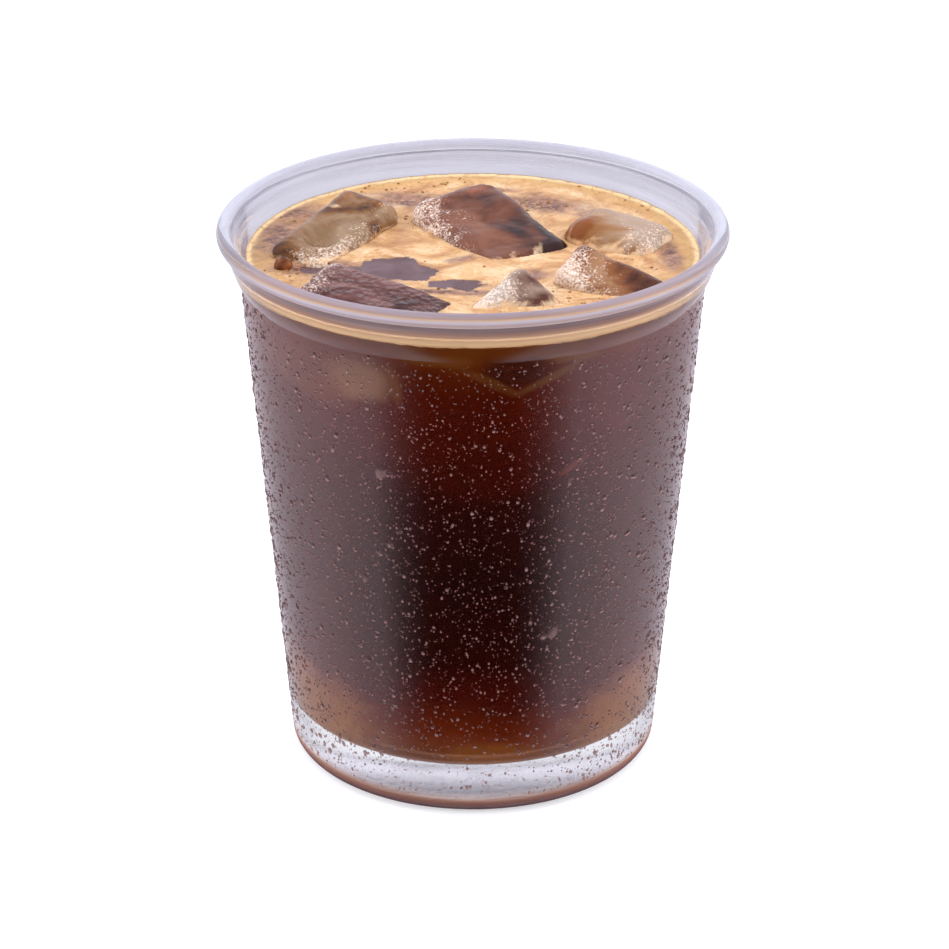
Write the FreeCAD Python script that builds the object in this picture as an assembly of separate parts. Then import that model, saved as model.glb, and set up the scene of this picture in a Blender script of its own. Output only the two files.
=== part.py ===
import FreeCAD, Part

import math
import os
from collections import namedtuple

from FreeCAD import Placement, Rotation, Vector

# An iced americano in a clear glass, in millimetres. The glass stands upright on z = 0 with its
# axis on Z. The drink fills it to a little under the rim, a thin crema floats on the coffee, and
# six ice blocks stand out of it.

# ---- driving dimensions -------------------------------------------------------------------

glass_height = 106.1
rim_radius = 47.5             # outermost radius, at the rolled rim
rim_bead_radius = 1.35        # half the thickness of the rolled rim
base_radius = 35.15           # outer wall carried down to the table
shoulder_radius = 43.25       # outer wall where the flare under the rim begins
shoulder_drop = 10.5          # from the top of the rim down to the start of the flare outside
mouth_drop = 5.6              # and inside, where it starts higher up
wall = 1.6                    # thickness of the side wall
floor_thickness = 10.0        # solid glass under the drink
floor_corner_radius = 5.0     # inside, where the wall meets the floor
heel_height = 3.2             # rounded outer edge at the foot
heel_width = 2.4

headspace = 5.9               # from the top of the rim down to the crema
crema_rim_thickness = 1.9     # crema at the wall
crema_film_thickness = 0.8    # crema over the middle of the drink
crema_rim_width = 5.0         # how far in the thicker edge of the crema reaches
crema_slope_width = 2.0       # where it thins to the film

ice_clearance = 0.3           # between one ice block and the next, and from ice to the wall
ice_draft = 1.2               # how much narrower each side of a block is at its foot

# An ice block stands `reach` of the way from the axis to the wall, on the compass `bearing` in
# degrees from +X, with its centre `depth` under the crema. `yaw`, `pitch` and `roll` turn it.
IceBlock = namedtuple(
    "IceBlock", "name length width height rounding reach bearing depth yaw pitch roll")

ice_blocks = [
    IceBlock("ice_back_left", 29.0, 13.0, 17.0, 2.6, 0.650, 165.0, 5.3, -120.0, 6.5, -10.0),
    IceBlock("ice_back", 31.0, 20.0, 18.0, 3.4, 0.250, 71.0, 6.4, -58.0, 9.0, 6.0),
    IceBlock("ice_right", 21.0, 17.0, 15.0, 5.5, 0.665, 14.0, 4.0, -28.0, 6.0, 4.0),
    IceBlock("ice_right_front", 20.0, 11.0, 17.0, 2.0, 0.700, -32.0, 5.9, -30.0, 13.0, 18.0),
    IceBlock("ice_front", 18.0, 18.0, 15.0, 1.8, 0.640, -73.0, 7.8, -142.0, 26.0, -38.0),
    IceBlock("ice_left_front", 28.0, 13.5, 18.0, 2.4, 0.710, -126.0, 7.3, -30.0, 6.5, 5.0),
]

# The ice at the back left has a hollow melted into its top.
melt_hollow_block = "ice_back_left"
melt_hollow_radius = 5.0
melt_hollow_depth = 1.6
melt_hollow_along = 5.0       # from the middle of the block towards its low end

# Where the crema is open and dark coffee shows: half sizes, place and turn of each opening.
Opening = namedtuple("Opening", "half_length half_width reach bearing turn")

crema_openings = [
    Opening(6.2, 4.6, 0.370, -144.0, 50.0),
    Opening(4.6, 1.8, 0.400, -96.0, -8.0),
]

# ---- values worked out from them ----------------------------------------------------------

shoulder_height = glass_height - shoulder_drop
wall_slope = (shoulder_radius - base_radius) / shoulder_height
bead_centre_radius = rim_radius - rim_bead_radius
bead_centre_height = glass_height - rim_bead_radius
crema_top = glass_height - headspace
crema_film_bottom = crema_top - crema_film_thickness
crema_rim_bottom = crema_top - crema_rim_thickness


def outer_radius(height):
    """Radius of the straight outer wall, before the flare under the rim."""
    return base_radius + wall_slope * height


def inner_radius(height):
    """Radius of the straight inner wall."""
    return outer_radius(height) - wall


surface_radius = inner_radius(crema_top)
mouth_height = glass_height - mouth_drop


# ---- helpers ------------------------------------------------------------------------------

def point(radius, height):
    return Vector(radius, 0, height)


def line(start, end):
    return Part.LineSegment(start, end).toShape()


def arc(start, middle, end):
    return Part.Arc(start, middle, end).toShape()


def bent(start, end, bulge):
    """An arc from start to end, standing `bulge` to the left of the straight way."""
    chord = end - start
    middle = (start + end) * 0.5
    side = Vector(-chord.z, 0, chord.x).normalize()
    return arc(start, middle + side * bulge, end)


def revolve(edges):
    face = Part.Face(Part.Wire(edges))
    return face.revolve(Vector(0, 0, 0), Vector(0, 0, 1), 360)


def on_surface(reach, bearing, height):
    """A place over the drink, by its share of the way to the wall and its bearing."""
    angle = math.radians(bearing)
    radius = reach * surface_radius
    return Vector(radius * math.cos(angle), radius * math.sin(angle), height)


def bead_point(angle):
    """A point of the rolled rim's section, by its angle from straight outwards."""
    turn = math.radians(angle)
    return point(
        bead_centre_radius + rim_bead_radius * math.cos(turn),
        bead_centre_height + rim_bead_radius * math.sin(turn))


def floor_corner(clearance):
    """The rounded inside corner: its start on the floor, its middle and its end on the wall."""
    floor = floor_thickness + clearance
    top = floor + floor_corner_radius
    sink = floor_corner_radius * (1 - math.sqrt(0.5))
    start = point(inner_radius(top) - clearance - floor_corner_radius, floor)
    middle = point(inner_radius(top) - clearance - sink, floor + sink)
    end = point(inner_radius(top) - clearance, top)
    return start, middle, end


# ---- glass --------------------------------------------------------------------------------

flare_out_bulge = -0.45       # how far the flare under the rim bends away from a straight line
flare_in_bulge = 0.25
bead_low = bead_point(-100)
bead_outside = bead_point(35)
bead_inside = bead_point(170)
shoulder_out = point(shoulder_radius, shoulder_height)
shoulder_in = point(inner_radius(mouth_height), mouth_height)


def glass():
    """A tapered tumbler in one turn of its section: thick floor, flared and rolled rim."""
    heel_in = point(outer_radius(0) - heel_width, 0)
    heel_out = point(outer_radius(heel_height), heel_height)
    heel_sink = 1 - math.sqrt(0.5)
    heel_middle = point(heel_out.x - heel_width * heel_sink, heel_height * heel_sink)
    floor_start, floor_middle, floor_end = floor_corner(0)
    return revolve([
        line(point(0, 0), heel_in),
        arc(heel_in, heel_middle, heel_out),
        line(heel_out, shoulder_out),
        bent(shoulder_out, bead_low, flare_out_bulge),
        arc(bead_low, bead_outside, bead_inside),
        bent(bead_inside, shoulder_in, flare_in_bulge),
        line(shoulder_in, floor_end),
        arc(floor_end, floor_middle, floor_start),
        line(floor_start, point(0, floor_thickness)),
        line(point(0, floor_thickness), point(0, 0)),
    ])


def inside(clearance):
    """The room inside the glass and above it, kept `clearance` away from floor and wall."""
    inwards = Vector(-clearance, 0, 0)
    floor_start, floor_middle, floor_end = floor_corner(clearance)
    mouth = bead_inside + inwards
    shoulder = shoulder_in + inwards
    above = glass_height + headspace
    return revolve([
        line(point(0, floor_start.z), floor_start),
        arc(floor_start, floor_middle, floor_end),
        line(floor_end, shoulder),
        bent(shoulder, mouth, -flare_in_bulge),
        line(mouth, point(mouth.x, above)),
        line(point(mouth.x, above), point(0, above)),
        line(point(0, above), point(0, floor_start.z)),
    ])


# ---- ice ----------------------------------------------------------------------------------

def raw_ice_block(block):
    """A tapered block with worn edges, its middle at the origin and not yet turned."""
    half_length = block.length / 2
    half_width = block.width / 2
    foot = Part.makePolygon([
        Vector(x, y, -block.height / 2) for x, y in corners(half_length - ice_draft, half_width - ice_draft)])
    top = Part.makePolygon([
        Vector(x, y, block.height / 2) for x, y in corners(half_length, half_width)])
    solid = Part.makeLoft([foot, top], True, True)
    return solid.makeFillet(block.rounding, solid.Edges)


def corners(half_length, half_width):
    """The four corners of a rectangle, and the first one again to close it."""
    return [
        (-half_length, -half_width), (half_length, -half_width),
        (half_length, half_width), (-half_length, half_width), (-half_length, -half_width)]


def melt_hollow(block):
    """The ball that a melted hollow in the top of a block is part of."""
    middle = Vector(
        melt_hollow_along, 0, block.height / 2 + melt_hollow_radius - melt_hollow_depth)
    return Part.makeSphere(melt_hollow_radius, middle)


def placed_ice_block(block):
    solid = raw_ice_block(block)
    if block.name == melt_hollow_block:
        solid = solid.cut(melt_hollow(block))
    centre = on_surface(block.reach, block.bearing, crema_top - block.depth)
    solid.Placement = Placement(centre, Rotation(block.yaw, block.pitch, block.roll))
    return solid


def grown_box(block, gap):
    """The straight-sided box round a block, larger by `gap` on each side."""
    size = Vector(block.length + 2 * gap, block.width + 2 * gap, block.height + 2 * gap)
    box = Part.makeBox(size.x, size.y, size.z, size * -0.5)
    centre = on_surface(block.reach, block.bearing, crema_top - block.depth)
    box.Placement = Placement(centre, Rotation(block.yaw, block.pitch, block.roll))
    return box


def all_ice():
    """Every block by name, each trimmed to the glass and to the blocks placed before it."""
    room = inside(ice_clearance)
    pieces = {}
    boxes = []
    for block in ice_blocks:
        solid = placed_ice_block(block).common(room)
        for box in boxes:
            if solid.common(box).Volume > 0:
                solid = solid.cut(box)
        pieces[block.name] = only_solid(solid)
        boxes.append(grown_box(block, ice_clearance))
    return pieces


def only_solid(shape):
    """The one solid in a shape, or its largest one."""
    return max(shape.Solids, key=lambda solid: solid.Volume)


# ---- drink --------------------------------------------------------------------------------

def step_radii():
    """Where the crema starts to thicken towards the wall, and where it is at its thickest."""
    thick = surface_radius - crema_rim_width
    return thick - crema_slope_width, thick


def under_crema():
    """Everything below the crema, wider than the glass."""
    thin, thick = step_radii()
    wide = rim_radius
    corner_points = [
        point(0, 0), point(wide, 0), point(wide, crema_rim_bottom),
        point(thick, crema_rim_bottom), point(thin, crema_film_bottom),
        point(0, crema_film_bottom)]
    edges = [line(a, b) for a, b in zip(corner_points, corner_points[1:])]
    return revolve(edges + [line(corner_points[-1], corner_points[0])])


def crema_opening(opening):
    """An upright oval post through the crema, where the coffee shows."""
    long, short = opening.half_length, opening.half_width
    oval = Part.Ellipse(Vector(0, 0, 0), long, short).toShape()
    face = Part.Face(Part.Wire([oval]))
    post = face.extrude(Vector(0, 0, headspace + crema_rim_thickness))
    foot = on_surface(opening.reach, opening.bearing, crema_rim_bottom)
    post.Placement = Placement(foot, Rotation(opening.turn, 0, 0))
    return post


def coffee(ice):
    shape = inside(0).common(under_crema())
    for piece in ice.values():
        shape = shape.cut(piece)
    return only_solid(shape)


def crema(ice):
    drink = inside(0).common(Part.makeCylinder(rim_radius, crema_top))
    shape = drink.cut(under_crema())
    for piece in ice.values():
        shape = shape.cut(piece)
    for opening in crema_openings:
        shape = shape.cut(crema_opening(opening))
    return only_solid(shape)


# ---- all pieces ---------------------------------------------------------------------------

def main():
    os.makedirs("parts", exist_ok=True)
    ice = all_ice()
    pieces = {"glass": glass(), "coffee": coffee(ice), "crema": crema(ice)}
    pieces.update(ice)
    for name, shape in pieces.items():
        shape.exportStep("parts/" + name + ".step")
        box = shape.BoundBox
        print(
            name, "solids", len(shape.Solids), "valid", shape.isValid(),
            "volume cm3", round(shape.Volume / 1000, 2),
            "z", round(box.ZMin, 2), round(box.ZMax, 2))


main()
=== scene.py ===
import math
import random

import bmesh
import bpy
import numpy as np
from mathutils import Matrix, Vector, noise
from mathutils.bvhtree import BVHTree


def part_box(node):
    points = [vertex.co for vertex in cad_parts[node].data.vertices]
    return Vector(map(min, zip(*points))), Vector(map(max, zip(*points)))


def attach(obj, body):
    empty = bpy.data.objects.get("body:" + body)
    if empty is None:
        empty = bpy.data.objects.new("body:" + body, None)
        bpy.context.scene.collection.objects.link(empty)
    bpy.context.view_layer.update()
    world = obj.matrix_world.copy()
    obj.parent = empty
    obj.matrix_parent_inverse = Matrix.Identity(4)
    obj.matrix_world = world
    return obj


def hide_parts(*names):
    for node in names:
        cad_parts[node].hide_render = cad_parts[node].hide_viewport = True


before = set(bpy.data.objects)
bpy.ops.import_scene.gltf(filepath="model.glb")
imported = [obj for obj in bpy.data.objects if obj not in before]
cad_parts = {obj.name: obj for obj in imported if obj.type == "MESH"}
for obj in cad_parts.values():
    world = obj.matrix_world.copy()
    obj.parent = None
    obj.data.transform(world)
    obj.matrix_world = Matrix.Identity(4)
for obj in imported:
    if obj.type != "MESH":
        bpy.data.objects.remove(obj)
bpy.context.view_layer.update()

MM = 0.001

# ---- sizes, from the frame -----------------------------------------------------------------

floor_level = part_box("coffee")[0].z
crema_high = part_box("crema")[1]
crema_level = crema_high.z
surface_radius = crema_high.x          # inner wall at the crema
floor_corner = 3.4 * MM                # corner of the drink, sunk into that of the glass
wall_slope = 0.0848                    # how much the wall leans out
wall = 1.6 * MM

coffee_reach = 0.10 * MM               # how far the coffee reaches into the glass wall
crema_reach = 0.15 * MM                # and the crema, a little further, so it shows in front
coffee_level = crema_level - 0.35 * MM
clear_wall_bottom = 17.0 * MM          # above this the coffee and the glass touch optically


def inner_radius(height):
    return surface_radius + wall_slope * (height - crema_level)


def outer_radius(height):
    return inner_radius(height) + wall


# ---- small tools ---------------------------------------------------------------------------

def add_object(name, mesh):
    piece = bpy.data.objects.new(name, mesh)
    bpy.context.scene.collection.objects.link(piece)
    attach(piece, "root")
    return piece


def mesh_from(name, verts, faces, smooth=True):
    mesh = bpy.data.meshes.new(name)
    mesh.from_pydata([tuple(v) for v in verts], [], [tuple(f) for f in faces])
    mesh.validate()
    mesh.update()
    mesh.polygons.foreach_set("use_smooth", [smooth] * len(mesh.polygons))
    return mesh


def applied(piece):
    """The piece's mesh with its modifiers worked in, and the modifiers taken off."""
    graph = bpy.context.evaluated_depsgraph_get()
    mesh = bpy.data.meshes.new_from_object(piece.evaluated_get(graph))
    piece.modifiers.clear()
    piece.data = mesh
    return mesh


def lathe(name, profile, segments=192):
    """A closed solid of revolution from (radius, height) points that start and end on the axis."""
    rings = []
    verts = []
    for radius, height in profile:
        if radius < 1e-7:
            rings.append([len(verts)] * segments)
            verts.append((0, 0, height))
            continue
        rings.append(list(range(len(verts), len(verts) + segments)))
        for step in range(segments):
            angle = 2 * math.pi * step / segments
            verts.append((radius * math.cos(angle), radius * math.sin(angle), height))
    faces = []
    for low, high in zip(rings, rings[1:]):
        for step in range(segments):
            after = (step + 1) % segments
            loop = [low[step], low[after], high[after], high[step]]
            face = list(dict.fromkeys(loop))
            if len(face) > 2:
                faces.append(face)
    return mesh_from(name, verts, faces)


def fractal(x, y, z, octaves=4):
    return noise.fractal(Vector((x, y, z)), 1.0, 2.0, octaves)


# ---- material tools ------------------------------------------------------------------------

def new_material(name):
    material = bpy.data.materials.new(name)
    material.use_nodes = True
    tree = material.node_tree
    tree.nodes.clear()
    return material, tree


class Nodes:
    """Short calls for building a node tree."""

    def __init__(self, tree):
        self.tree = tree

    def add(self, kind, **settings):
        node = self.tree.nodes.new(kind)
        for key, value in settings.items():
            setattr(node, key, value)
        return node

    def link(self, source, target):
        self.tree.links.new(source, target)

    def value(self, socket, source):
        if isinstance(source, (int, float, tuple)):
            socket.default_value = source
        else:
            self.link(source, socket)

    def math(self, operation, first, second=0.0, third=0.0, clamp=False):
        node = self.add("ShaderNodeMath", operation=operation, use_clamp=clamp)
        self.value(node.inputs[0], first)
        self.value(node.inputs[1], second)
        self.value(node.inputs[2], third)
        return node.outputs[0]

    def times(self, first, second, clamp=False):
        return self.math("MULTIPLY", first, second, clamp=clamp)

    def opposite(self, share):
        """1 less a share of 0 to 1."""
        return self.math("SUBTRACT", 1.0, share)

    def noise(self, scale, detail=4.0, rough=0.55, distort=0.0, vector=None):
        node = self.add("ShaderNodeTexNoise")
        node.inputs["Scale"].default_value = scale
        node.inputs["Detail"].default_value = detail
        node.inputs["Roughness"].default_value = rough
        node.inputs["Distortion"].default_value = distort
        self.link(vector or self.position(), node.inputs["Vector"])
        return node.outputs["Fac"]

    def voronoi(self, scale, feature="F1", output="Distance", vector=None):
        node = self.add("ShaderNodeTexVoronoi", feature=feature)
        node.inputs["Scale"].default_value = scale
        self.link(vector or self.position(), node.inputs["Vector"])
        return node.outputs[output]

    def position(self):
        return self.add("ShaderNodeTexCoord").outputs["Object"]

    def axes(self, vector=None):
        """The x, y and z of a vector, or of the place on the surface."""
        node = self.add("ShaderNodeSeparateXYZ")
        self.link(vector or self.position(), node.inputs[0])
        return node.outputs

    def length(self, x, y):
        return self.math("SQRT", self.math(
            "ADD", self.math("MULTIPLY", x, x), self.math("MULTIPLY", y, y)))

    def stretched(self, x, y, z):
        node = self.add("ShaderNodeMapping")
        self.link(self.position(), node.inputs["Vector"])
        node.inputs["Scale"].default_value = (x, y, z)
        return node.outputs[0]

    def ramp(self, fac, stops):
        node = self.add("ShaderNodeValToRGB")
        elements = node.color_ramp.elements
        while len(elements) < len(stops):
            elements.new(0.5)
        for element, (place, colour) in zip(elements, stops):
            element.position = place
            element.color = colour if len(colour) == 4 else (*colour, 1.0)
        self.link(fac, node.inputs["Fac"])
        return node.outputs["Color"]

    def mix_colour(self, fac, first, second, blend="MIX"):
        node = self.add("ShaderNodeMix", data_type="RGBA", blend_type=blend)
        self.value(node.inputs[0], fac)
        self.value(node.inputs[6], first)
        self.value(node.inputs[7], second)
        return node.outputs[2]

    def bump(self, height, strength, distance, normal=None):
        node = self.add("ShaderNodeBump")
        node.inputs["Strength"].default_value = strength
        node.inputs["Distance"].default_value = distance
        self.link(height, node.inputs["Height"])
        if normal:
            self.link(normal, node.inputs["Normal"])
        return node.outputs["Normal"]

    def oval(self, u, v, across, along, half_length, half_width, turn):
        """How far from the middle of a turned oval, 1 on its edge; sizes in millimetres."""
        c = math.cos(math.radians(turn)) / MM
        d = math.sin(math.radians(turn)) / MM
        shift = -(across * c + along * d) * MM
        first = self.math("ADD", self.math("MULTIPLY_ADD", u, c, shift), self.math("MULTIPLY", v, d))
        shift = (across * d - along * c) * MM
        second = self.math("ADD", self.math("MULTIPLY_ADD", u, -d, shift), self.math("MULTIPLY", v, c))
        first = self.math("DIVIDE", first, half_length)
        second = self.math("DIVIDE", second, half_width)
        return self.length(first, second)

    def smooth_step(self, value, low, high):
        node = self.add("ShaderNodeMapRange", interpolation_type="SMOOTHSTEP")
        self.value(node.inputs["Value"], value)
        node.inputs["From Min"].default_value = low
        node.inputs["From Max"].default_value = high
        return node.outputs["Result"]

    def diffuse(self, colour):
        node = self.add("ShaderNodeBsdfDiffuse")
        self.value(node.inputs["Color"], colour)
        return node

    def layer(self, under, over, amount):
        """One shader over another, `amount` of the way."""
        node = self.add("ShaderNodeMixShader")
        self.value(node.inputs[0], amount)
        self.link(under.outputs[0], node.inputs[1])
        self.link(over.outputs[0], node.inputs[2])
        return node

    def principled(self, **inputs):
        node = self.add("ShaderNodeBsdfPrincipled")
        for key, value in inputs.items():
            self.value(node.inputs[key.replace("_", " ")], value)
        return node


def srgb(red, green, blue):
    """A display colour of 0 to 255 as the linear colour of a shader socket."""
    def linear(part):
        part /= 255.0
        return part / 12.92 if part <= 0.04045 else ((part + 0.055) / 1.055) ** 2.4
    return (linear(red), linear(green), linear(blue), 1.0)


# ---- glass ---------------------------------------------------------------------------------

# Painted refractions of the foam and painted highlights in the rim's front, from the foam behind it
# up: height in millimetres and colour.
painted_rim_streaks = [
    (98.3, (150, 90, 50)), (98.9, (222, 158, 100)), (99.8, (244, 204, 156)),
    (100.7, (212, 164, 120)), (101.6, (160, 112, 88)), (102.4, (118, 96, 104)),
    (103.0, (128, 104, 110)), (103.6, (206, 178, 166)), (104.2, (176, 150, 148)),
    (104.8, (222, 214, 228)), (105.2, (236, 192, 142)), (105.5, (178, 138, 116)),
    (106.0, (158, 140, 150))]
painted_rim_streaks_base = 98.0 * MM
painted_rim_streaks_height = 8.5 * MM


mist_roughness = 0.13
polish_roughness = 0.012               # of the glass where it is dry
flare_bottom = 96.0 * MM               # the mist fades out up the flare
foam_line_bottom = 98.9 * MM           # the painted streaks of the rim's front start here
painted_rim_glare_bottom = 99.8 * MM
bead_bottom = 103.6 * MM
heel_top = 5.4 * MM


def with_painted_rim_glare(n, under, place, behind):
    """Painted highlights: a pale, streaky diffuse haze in the rim, warmer on the front lip under the
    bead.
    """
    at_rim = n.smooth_step(place[2], painted_rim_glare_bottom, painted_rim_glare_bottom + 1.4 * MM)
    streaks = n.noise(22.0, 3.0, 0.6, 0.0, n.stretched(1.0, 1.0, 34.0))
    streaks = n.math("MULTIPLY_ADD", streaks, 0.70, n.math("MULTIPLY_ADD", behind, 0.07, -0.12))
    front_lip = n.times(n.opposite(behind), n.math("LESS_THAN", place[2], bead_bottom))
    # painted highlight tone, warmer on the front lip below the bead
    tone = n.mix_colour(front_lip, (0.70, 0.71, 0.84, 1.0), (0.92, 0.78, 0.68, 1.0))
    return n.layer(under, n.diffuse(tone), n.times(at_rim, streaks, clamp=True))


def with_painted_rim_streaks(n, under, place, behind, outside):
    """Painted refractions and highlights: fine streaks round the front of the rim, which wander a
    little up and down.
    """
    wander = n.noise(16.0, 3.0, 0.6, 0.0, n.stretched(1.0, 1.0, 12.0))
    level = n.math("ADD", place[2], n.math("MULTIPLY_ADD", wander, 1.0 * MM, -0.5 * MM))
    level = n.math("MULTIPLY_ADD", level, 1 / painted_rim_streaks_height, -painted_rim_streaks_base / painted_rim_streaks_height)
    # painted reflected and refracted colour, by height
    lines = n.ramp(level, [
        ((height * MM - painted_rim_streaks_base) / painted_rim_streaks_height, srgb(*shade))
        for height, shade in painted_rim_streaks])
    above = n.smooth_step(place[2], foam_line_bottom, foam_line_bottom + 0.6 * MM)
    amount = n.times(n.opposite(behind), n.times(n.times(above, outside), 0.55))
    return n.layer(under, n.diffuse(lines), amount)


def with_painted_flank_sheen(n, under, place, misted):
    """Painted sheen: the rosy bloom of fine water on the flanks, above the foot, painted stronger
    toward the left and right sides of the glass.
    """
    # painted sheen, growing toward the left and right flanks
    side = n.smooth_step(n.math("ABSOLUTE", place[0]), 7.0 * MM, 30.0 * MM)
    side = n.times(side, n.smooth_step(place[2], 10.0 * MM, 26.0 * MM))
    amount = n.times(n.times(misted, side), 0.085)
    return n.layer(under, n.diffuse((0.82, 0.42, 0.42, 1.0)), amount)


def with_painted_heel_reflection(n, under, place, outside):
    """Painted reflection: the brown of the drink, reflected into the heel, painted on as colour."""
    colour = n.ramp(n.times(place[2], 1 / (10 * MM)), [
        (0.17, srgb(96, 52, 50)), (0.27, srgb(140, 84, 58)), (0.35, srgb(178, 128, 98)),
        (0.44, srgb(192, 156, 142)), (0.58, srgb(198, 176, 180)), (0.72, srgb(206, 200, 214))])
    low = n.opposite(n.smooth_step(place[2], 2.0 * MM, heel_top))
    amount = n.times(low, n.times(outside, 0.92))
    return n.layer(under, n.diffuse(colour), amount)


def glass_material():
    """Clear glass, misted outside between the foot and the flare, with painted highlights and streaks
    at the rim, a painted sheen on the flanks and a painted reflection of the drink in the heel.
    """
    material, tree = new_material("clear_misted_glass")
    n = Nodes(tree)
    out = n.add("ShaderNodeOutputMaterial")
    place = n.axes()
    x, y, z = place
    middle = n.math("MULTIPLY_ADD", z, wall_slope, inner_radius(0.0) + 0.5 * wall)
    outside = n.math("GREATER_THAN", n.length(x, y), middle)
    behind = n.smooth_step(y, -36.0 * MM, -10.0 * MM)
    above_foot = n.smooth_step(z, 1.5 * MM, 5.0 * MM)
    below_rim = n.opposite(n.smooth_step(z, flare_bottom, flare_bottom + 3.5 * MM))
    misted = n.times(n.times(above_foot, below_rim), outside)
    patchy = n.math("MULTIPLY_ADD", n.noise(90.0, 3.0, 0.6, 0.3), 0.5, 0.75)
    roughness = n.math(
        "MULTIPLY_ADD", n.times(misted, patchy), mist_roughness, polish_roughness)
    ripple = n.bump(n.noise(60.0, 2.0, 0.5), 0.04, 1.0 * MM)
    dry = n.principled(
        Base_Color=(1.0, 1.0, 1.0, 1.0), Roughness=roughness, IOR=1.5,
        Transmission_Weight=1.0, Normal=ripple)
    wetted = n.add("ShaderNodeBsdfRefraction")
    wetted.inputs["IOR"].default_value = 1.5
    wetted.inputs["Roughness"].default_value = 0.0
    beside_coffee = n.times(
        n.math("GREATER_THAN", z, clear_wall_bottom), n.math("LESS_THAN", z, coffee_level))
    shader = n.layer(dry, wetted, n.times(n.opposite(outside), beside_coffee))
    shader = with_painted_rim_glare(n, shader, place, behind)
    shader = with_painted_rim_streaks(n, shader, place, behind, outside)
    shader = with_painted_flank_sheen(n, shader, place, misted)
    shader = with_painted_heel_reflection(n, shader, place, outside)
    n.link(shader.outputs[0], out.inputs["Surface"])
    return material


def dress_glass():
    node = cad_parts["glass"]
    node.data.materials[0] = glass_material()


# ---- coffee --------------------------------------------------------------------------------

# Colour of the drink against the glass, from the floor up, with a painted glow: lighter and more
# orange near the foot and under the foam; height in millimetres and colour.
drink_colours_with_painted_glow = [
    (11, (0.33, 0.094, 0.026, 1)), (17, (0.30, 0.045, 0.010, 1)), (25, (0.13, 0.012, 0.006, 1)),
    (34, (0.058, 0.007, 0.004, 1)), (50, (0.043, 0.007, 0.005, 1)),
    (66, (0.065, 0.009, 0.006, 1)), (78, (0.16, 0.014, 0.006, 1)), (88, (0.21, 0.021, 0.006, 1)),
    (93, (0.28, 0.040, 0.008, 1)), (96.5, (0.40, 0.083, 0.012, 1)), (99, (0.48, 0.122, 0.019, 1))]

# Painted light and shade on the front of the drink: lit sunk ice that shows through it, and glow low
# by the foot; middle x, z, half length, half width in millimetres, turn in degrees, colour and
# strength.
painted_light_and_shade_patches = [
    (-29.0, 88.5, 10.5, 6.0, 0, (0.46, 0.15, 0.06, 1), 0.70),
    (-19.6, 90.0, 6.4, 4.6, 0, (0.70, 0.36, 0.17, 1), 0.75),
    (-13.6, 89.6, 1.2, 4.4, 10, (0.44, 0.14, 0.035, 1), 0.60),
    (-6.0, 95.6, 6.5, 1.6, 0, (0.57, 0.19, 0.035, 1), 0.60),
    (8.0, 93.2, 7.0, 3.2, 0, (0.11, 0.026, 0.020, 1), 0.70),
    (3.0, 91.4, 6.6, 1.0, -28, (0.42, 0.13, 0.030, 1), 0.70),
    (13.8, 91.5, 7.2, 0.9, 24, (0.42, 0.16, 0.050, 1), 0.70),
    (17.5, 95.3, 5.5, 1.5, -8, (0.53, 0.19, 0.042, 1), 0.60),
    (26.0, 84.0, 5.0, 7.0, 20, (0.24, 0.043, 0.021, 1), 0.50),
    (4.0, 72.0, 11.0, 5.0, 12, (0.14, 0.011, 0.006, 1), 0.50),
    (18.0, 73.0, 4.0, 0.8, 32, (0.36, 0.07, 0.042, 1), 0.55),
    (-31.0, 15.0, 13.0, 10.0, 0, (0.76, 0.32, 0.10, 1), 0.85),
    (31.0, 15.0, 13.0, 10.0, 0, (0.76, 0.32, 0.10, 1), 0.85),
    (4.0, 12.5, 9.0, 3.0, 0, (0.50, 0.15, 0.020, 1), 0.70),
]


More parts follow.
